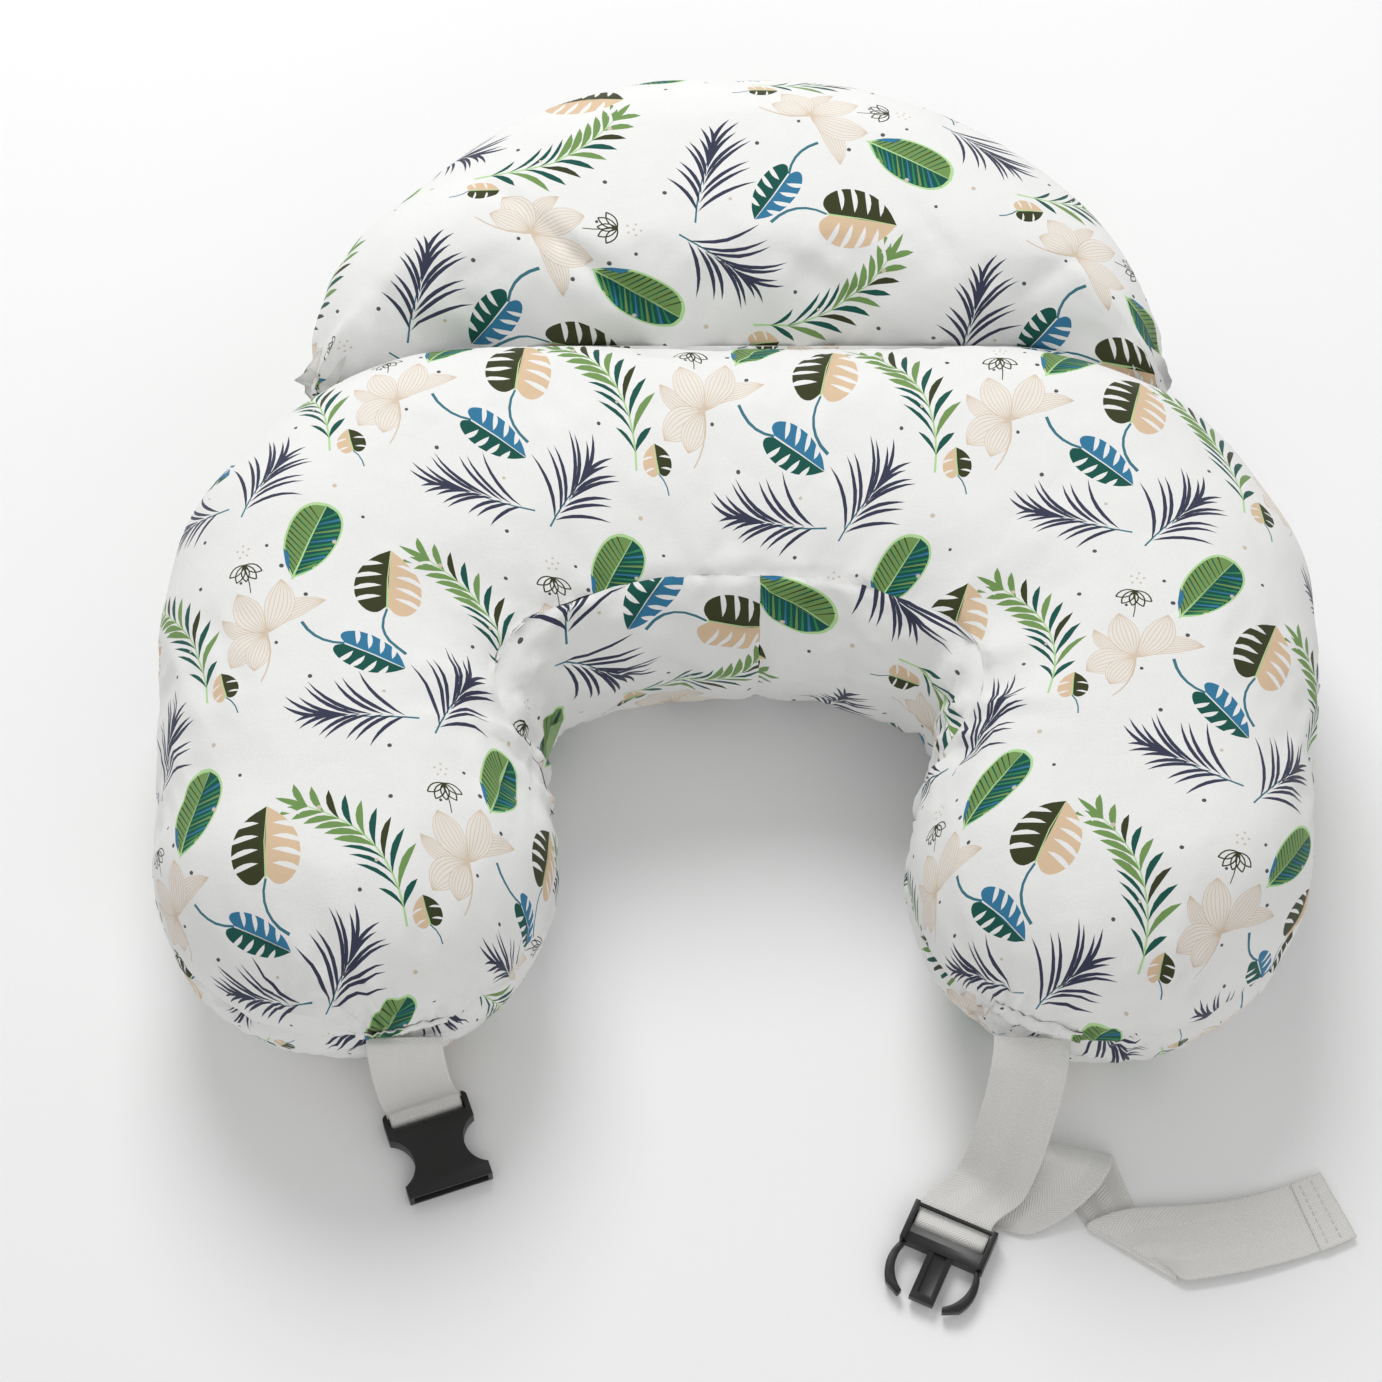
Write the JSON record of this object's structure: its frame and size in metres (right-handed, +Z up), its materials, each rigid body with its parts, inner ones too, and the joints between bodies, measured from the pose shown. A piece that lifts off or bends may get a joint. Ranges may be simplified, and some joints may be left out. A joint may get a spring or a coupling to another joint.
{
  "type": "nursing pillow",
  "caption": "U-shaped padded nursing pillow with a flip-over half-moon back cushion, printed cotton cover and a webbing waist strap with a side-release buckle.",
  "frame": {"origin": "on the resting face, midway across the pillow and midway between the arm tips and the rear of the back cushion", "axes": "+Z up from the surface the pillow lies on, +X to the right with the arms pointing along -Y, +Y towards the back cushion"},
  "size_m": [0.6077, 0.6693, 0.16],
  "materials": {
    "printed_cotton": "plain-weave cotton, white with a printed leaf pattern",
    "liner_fabric": "thin non-woven liner",
    "polyester_fibre": "loose polyester fibre",
    "webbing": "light warm-grey twill webbing",
    "buckle_plastic": "black moulded plastic, fine satin grain",
    "zip_tape": "woven tape",
    "zip_coil": "nylon coil",
    "zip_metal": "white enamel",
    "seam_tape": "folded cotton seam allowance"
  },
  "bodies": {
    "main_cushion": {"main_cover_top": "printed_cotton", "main_cover_bottom": "printed_cotton", "inner_wall_left": "printed_cotton", "inner_wall_right": "printed_cotton", "main_liner": "liner_fabric", "main_fibre_fill": "polyester_fibre", "main_zip_tape_back": "zip_tape", "main_zip_tape_front": "zip_tape", "main_zip_coil": "zip_coil", "hinge_tape_front": "seam_tape", "strap_flap_left": "printed_cotton", "strap_flap_right": "printed_cotton"},
    "main_zip_runner": {"main_zip_slider": "zip_metal"},
    "main_zip_tab": {"main_zip_pull": "zip_metal"},
    "back_cushion": {"back_cover_top": "printed_cotton", "back_cover_bottom": "printed_cotton", "back_liner": "liner_fabric", "back_fibre_fill": "polyester_fibre", "back_zip_tape_upper": "zip_tape", "back_zip_tape_lower": "zip_tape", "back_zip_coil": "zip_coil", "hinge_tape_back": "seam_tape"},
    "back_zip_runner": {"back_zip_slider": "zip_metal"},
    "back_zip_tab": {"back_zip_pull": "zip_metal"},
    "short_strap": {"left_strap": "webbing"},
    "socket": {"buckle_socket": "buckle_plastic"},
    "long_strap": {"right_strap": "webbing", "right_strap_tail": "webbing", "strap_tail_hem": "webbing"},
    "plug": {"buckle_plug": "buckle_plastic", "strap_loop": "webbing"},
    "prong_left": {"plug_prong_left": "buckle_plastic"},
    "prong_right": {"plug_prong_right": "buckle_plastic"}
  },
  "joints": [
    {"name": "back_cushion_fold", "type": "hinge", "parent": "main_cushion", "child": "back_cushion", "pos_m": [0, 0.1012, 0.1525], "axis": [1, 0, 0], "range_deg": [0, 180]},
    {"name": "short_strap_swing", "type": "hinge", "parent": "main_cushion", "child": "short_strap", "pos_m": [-0.167, -0.2803, 0.0834], "axis": [-1, 0, 0], "range_deg": [0, 70]},
    {"name": "socket_swing", "type": "hinge", "parent": "short_strap", "child": "socket", "pos_m": [-0.1605, -0.2868, 0.0052], "axis": [-0.9455, -0.3256, 0], "range_deg": [0, 45]},
    {"name": "long_strap_swing", "type": "hinge", "parent": "main_cushion", "child": "long_strap", "pos_m": [0.1445, -0.2803, 0.0834], "axis": [-1, 0, 0], "range_deg": [0, 50]},
    {"name": "plug_swing", "type": "hinge", "parent": "long_strap", "child": "plug", "pos_m": [0.11179, -0.33962, 0.00855], "axis": [-0.9135, 0.4067, 0], "range_deg": [0, 60]},
    {"name": "prong_left_squeeze", "type": "hinge", "parent": "plug", "child": "prong_left", "pos_m": [0.08233, -0.35661, 0.0052], "axis": [0, 0, 1], "range_deg": [0, 8], "stiffness_Nm_per_rad": 0.3},
    {"name": "prong_right_squeeze", "type": "hinge", "parent": "plug", "child": "prong_right", "pos_m": [0.11887, -0.37288, 0.0052], "axis": [0, 0, -1], "range_deg": [0, 8], "stiffness_Nm_per_rad": 0.3},
    {"name": "main_zip_slide", "type": "slide", "parent": "main_cushion", "child": "main_zip_runner", "axis": [1, 0, 0], "range_m": [0, 0.25]},
    {"name": "main_zip_tab_swing", "type": "hinge", "parent": "main_zip_runner", "child": "main_zip_tab", "pos_m": [-0.1291, 0.024, 0.0026], "axis": [0, 1, 0], "range_deg": [0, 120]},
    {"name": "back_zip_slide", "type": "hinge", "parent": "back_cushion", "child": "back_zip_runner", "pos_m": [0, 0.01538, 0.074], "axis": [0, 0, -1], "range_deg": [0, 60]},
    {"name": "back_zip_tab_swing", "type": "hinge", "parent": "back_zip_runner", "child": "back_zip_tab", "pos_m": [-0.13056, 0.24152, 0.0718], "axis": [0.866, 0.5, 0], "range_deg": [0, 100]}
  ]
}
